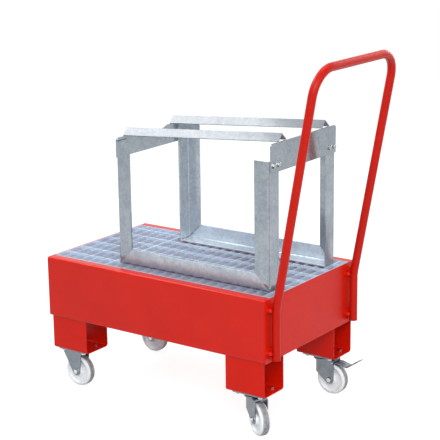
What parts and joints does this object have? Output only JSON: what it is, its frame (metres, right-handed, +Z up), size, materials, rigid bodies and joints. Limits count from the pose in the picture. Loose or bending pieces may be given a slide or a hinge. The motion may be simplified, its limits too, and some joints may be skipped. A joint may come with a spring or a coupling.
{
  "type": "mobile spill tray",
  "caption": "Red sheet-steel spill tray on casters with a galvanised grating deck, a push handle and a bolted angle-steel stand with a sloping cradle for a drum on its side.",
  "frame": {"origin": "on the floor, under the middle of the overall length and width", "axes": "+X towards the push handle, -Y towards the front long side, +Z up"},
  "size_m": [0.973, 0.493, 1.0915],
  "materials": {
    "red_paint": "glossy traffic-red powder coat on folded sheet",
    "galvanised_steel": "hot-dip galvanised, pale grey with a soft spangle",
    "zinc_plate": "bright zinc plate on pressed steel and fasteners",
    "white_nylon": "white cast nylon with a light sheen",
    "brake_rubber": "black moulded rubber"
  },
  "bodies": {
    "chassis": {"tray_trough": "red_paint", "end_wall_left": "red_paint", "end_wall_right": "red_paint", "foot_front_left": "red_paint", "foot_rear_left": "red_paint", "foot_front_right": "red_paint", "foot_rear_right": "red_paint", "grating_ledge_front": "red_paint", "grating_ledge_rear": "red_paint", "handle_bow": "red_paint", "handle_lugs": "red_paint", "handle_studs": "red_paint", "handle_nuts": "red_paint", "fixed_bracket_front": "zinc_plate", "fixed_bracket_rear": "zinc_plate", "fixed_axle_bolts": "zinc_plate", "fixed_axle_nuts": "zinc_plate", "fixed_bush_front": "zinc_plate", "fixed_bush_rear": "zinc_plate", "caster_bolts": "zinc_plate", "caster_nuts": "zinc_plate", "swivel_plate_front": "zinc_plate", "swivel_plate_rear": "zinc_plate", "swivel_race_front": "zinc_plate", "swivel_race_rear": "zinc_plate", "kingpin_front": "zinc_plate", "kingpin_rear": "zinc_plate"},
    "left_grating": {"grating_left": "galvanised_steel"},
    "right_grating": {"grating_right": "galvanised_steel"},
    "drum_stand": {"stand_post_front_left": "galvanised_steel", "stand_post_rear_left": "galvanised_steel", "stand_post_front_right": "galvanised_steel", "stand_post_rear_right": "galvanised_steel", "stand_rail_front": "galvanised_steel", "stand_rail_rear": "galvanised_steel", "cradle_plate_left": "galvanised_steel", "cradle_plate_right": "galvanised_steel", "cradle_rail_front": "galvanised_steel", "cradle_rail_rear": "galvanised_steel", "cradle_bolts": "zinc_plate", "cradle_washers": "zinc_plate", "cradle_nuts": "zinc_plate"},
    "fixed_wheel_front": {"fixed_wheel_front": "white_nylon"},
    "fixed_wheel_rear": {"fixed_wheel_rear": "white_nylon"},
    "fork_front": {"swivel_fork_front": "zinc_plate", "swivel_bush_front": "zinc_plate", "swivel_axle_bolt_front": "zinc_plate", "swivel_axle_nut_front": "zinc_plate"},
    "fork_rear": {"swivel_fork_rear": "zinc_plate", "swivel_bush_rear": "zinc_plate", "swivel_axle_bolt_rear": "zinc_plate", "swivel_axle_nut_rear": "zinc_plate", "brake_pin": "zinc_plate"},
    "swivel_wheel_front": {"swivel_wheel_front": "white_nylon"},
    "swivel_wheel_rear": {"swivel_wheel_rear": "white_nylon"},
    "brake": {"brake_pedal": "zinc_plate", "brake_shoe": "brake_rubber"}
  },
  "joints": [
    {"name": "left_grating_lift", "type": "slide", "parent": "chassis", "child": "left_grating", "axis": [0, 0, 1], "range_m": [0, 0.25]},
    {"name": "right_grating_lift", "type": "slide", "parent": "chassis", "child": "right_grating", "axis": [0, 0, 1], "range_m": [0, 0.25]},
    {"name": "stand_lift", "type": "slide", "parent": "right_grating", "child": "drum_stand", "axis": [0, 0, 1], "range_m": [0, 0.25]},
    {"name": "fixed_wheel_front_spin", "type": "hinge", "parent": "chassis", "child": "fixed_wheel_front", "pos_m": [-0.416, -0.1905, 0.05], "axis": [0, 1, 0], "continuous": true},
    {"name": "fixed_wheel_rear_spin", "type": "hinge", "parent": "chassis", "child": "fixed_wheel_rear", "pos_m": [-0.416, 0.1905, 0.05], "axis": [0, 1, 0], "continuous": true},
    {"name": "swivel_front", "type": "hinge", "parent": "chassis", "child": "fork_front", "pos_m": [0.253, -0.1905, 0.115], "axis": [0, 0, 1], "continuous": true},
    {"name": "swivel_wheel_front_spin", "type": "hinge", "parent": "fork_front", "child": "swivel_wheel_front", "pos_m": [0.28183, -0.20852, 0.05], "axis": [0.5299, 0.848, 0], "continuous": true},
    {"name": "swivel_rear", "type": "hinge", "parent": "chassis", "child": "fork_rear", "pos_m": [0.253, 0.1905, 0.115], "axis": [0, 0, 1], "continuous": true},
    {"name": "swivel_wheel_rear_spin", "type": "hinge", "parent": "fork_rear", "child": "swivel_wheel_rear", "pos_m": [0.287, 0.1905, 0.05], "axis": [0, 1, 0], "continuous": true},
    {"name": "brake_press", "type": "hinge", "parent": "fork_rear", "child": "brake", "pos_m": [0.295, 0.1905, 0.1055], "axis": [0, 1, 0], "range_deg": [0, 7]}
  ]
}
